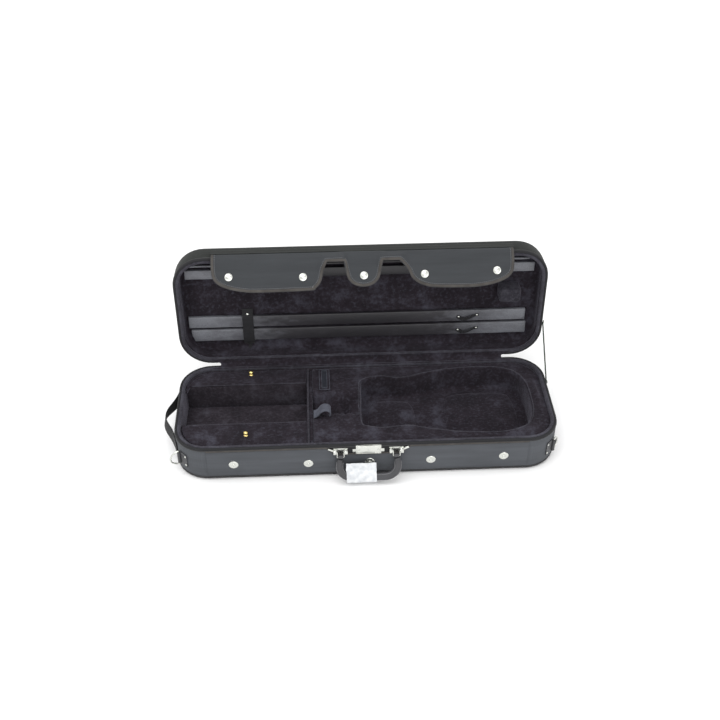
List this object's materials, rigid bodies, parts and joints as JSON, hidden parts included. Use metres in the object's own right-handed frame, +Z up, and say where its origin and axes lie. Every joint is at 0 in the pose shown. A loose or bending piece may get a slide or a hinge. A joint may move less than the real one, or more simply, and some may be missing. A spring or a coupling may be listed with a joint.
{
  "type": "violin case",
  "caption": "Oblong violin case with a canvas-covered shell, hinged lid with bow rails, velvet-lined violin hollow, accessory boxes, folding handle and snap-down front flap.",
  "frame": {"origin": "centre of the base's flat bottom face, midway between the two ends and between the front and back walls", "axes": "+X along the case towards the end that holds the violin's body, +Y from the handle towards the hinges, +Z up"},
  "size_m": [0.8342, 0.38, 0.3642],
  "materials": {
    "canvas": "matte",
    "vinyl": "satin",
    "velvet": "matte",
    "shell": "matte",
    "leather": "satin",
    "webbing": "matte",
    "cord": "matte",
    "nickel": "polished",
    "brass": "polished"
  },
  "bodies": {
    "base": {"accessory_partition": "velvet", "back_box_wall": "velvet", "base_bottom_panel": "canvas", "base_rim_lip": "velvet", "base_shell": "shell", "base_side_cover": "canvas", "cradle_block": "velvet", "end_handle": "webbing", "front_box_wall": "velvet", "front_panel": "canvas", "handle_lug_left": "nickel", "handle_lug_right": "nickel", "hinge_leaf_base_1": "nickel", "hinge_leaf_base_2": "nickel", "hinge_pin_1": "nickel", "hinge_pin_2": "nickel", "lock_plate": "nickel", "lower_bout_pad": "velvet", "neck_block": "velvet", "neck_strap_back": "webbing", "neck_strap_front": "webbing", "ring_tab_left": "leather", "ring_tab_right": "leather", "snap_stud_1": "nickel", "snap_stud_2": "nickel", "snap_stud_3": "nickel", "snap_stud_4": "nickel", "snap_stud_5": "nickel", "stay_cord": "cord", "upper_bout_pad": "velvet"},
    "lid": {"bow_rail_1": "vinyl", "bow_rail_2": "vinyl", "bow_rail_3": "vinyl", "bow_tip_strap": "webbing", "frog_pad": "velvet", "hasp": "nickel", "hinge_leaf_lid_1": "nickel", "hinge_leaf_lid_2": "nickel", "lid_cover": "canvas", "lid_liner": "velvet", "lid_rim_lip": "velvet", "lid_shell": "shell", "music_pocket": "canvas"},
    "flap": {"flap": "canvas", "snap_cap_1": "nickel", "snap_cap_2": "nickel", "snap_cap_3": "nickel", "snap_cap_4": "nickel", "snap_cap_5": "nickel"},
    "bails": {"handle_bail_left": "nickel", "handle_bail_right": "nickel"},
    "handle": {"handle_grip": "leather"},
    "lock_slider": {"lock_slider": "nickel"},
    "front_box_lid": {"front_box_lid": "velvet", "front_box_knob": "brass"},
    "back_box_lid": {"back_box_lid": "velvet", "back_box_knob": "brass"},
    "d_ring_left": {"d_ring_left": "nickel"},
    "d_ring_right": {"d_ring_right": "nickel"},
    "zip_slider": {"zip_slider": "nickel"}
  },
  "joints": [
    {"name": "lid_hinge", "type": "hinge", "parent": "base", "child": "lid", "pos_m": [0, 0.1362, 0.088], "axis": [-1, 0, 0], "range_deg": [-94, 0], "deforming": ["stay_cord"]},
    {"name": "flap_fold", "type": "hinge", "parent": "lid", "child": "flap", "pos_m": [0, 0.15098, 0.36384], "axis": [-1, 0, 0], "range_deg": [0, 59]},
    {"name": "handle_bails", "type": "hinge", "parent": "base", "child": "bails", "pos_m": [0, -0.1405, 0.0738], "axis": [-1, 0, 0], "range_deg": [0, 70]},
    {"name": "handle_pivot", "type": "hinge", "parent": "bails", "child": "handle", "pos_m": [0, -0.1439, 0.06334], "axis": [-1, 0, 0], "range_deg": [0, 30]},
    {"name": "lock_slide", "type": "slide", "parent": "base", "child": "lock_slider", "axis": [1, 0, 0], "range_m": [0, 0.004], "stiffness_N_per_m": 300},
    {"name": "front_box_lid_hinge", "type": "hinge", "parent": "base", "child": "front_box_lid", "pos_m": [-0.256, -0.1203, 0.0795], "axis": [1, 0, 0], "range_deg": [0, 75]},
    {"name": "back_box_lid_hinge", "type": "hinge", "parent": "base", "child": "back_box_lid", "pos_m": [-0.256, 0.1203, 0.0795], "axis": [-1, 0, 0], "range_deg": [0, 75]},
    {"name": "d_ring_left_swing", "type": "hinge", "parent": "base", "child": "d_ring_left", "pos_m": [-0.39168, -0.107, 0.043], "axis": [0, 0, 1], "range_deg": [-50, 80]},
    {"name": "d_ring_right_swing", "type": "hinge", "parent": "base", "child": "d_ring_right", "pos_m": [0.39168, -0.107, 0.043], "axis": [0, 0, -1], "range_deg": [0, 95]},
    {"name": "zip_slide", "type": "slide", "parent": "lid", "child": "zip_slider", "axis": [1, 0, 0], "range_m": [0, 0.6]}
  ],
  "couplings": [
    {"joint": "flap_fold", "follows": "lid_hinge", "ratio": -0.62766}
  ]
}
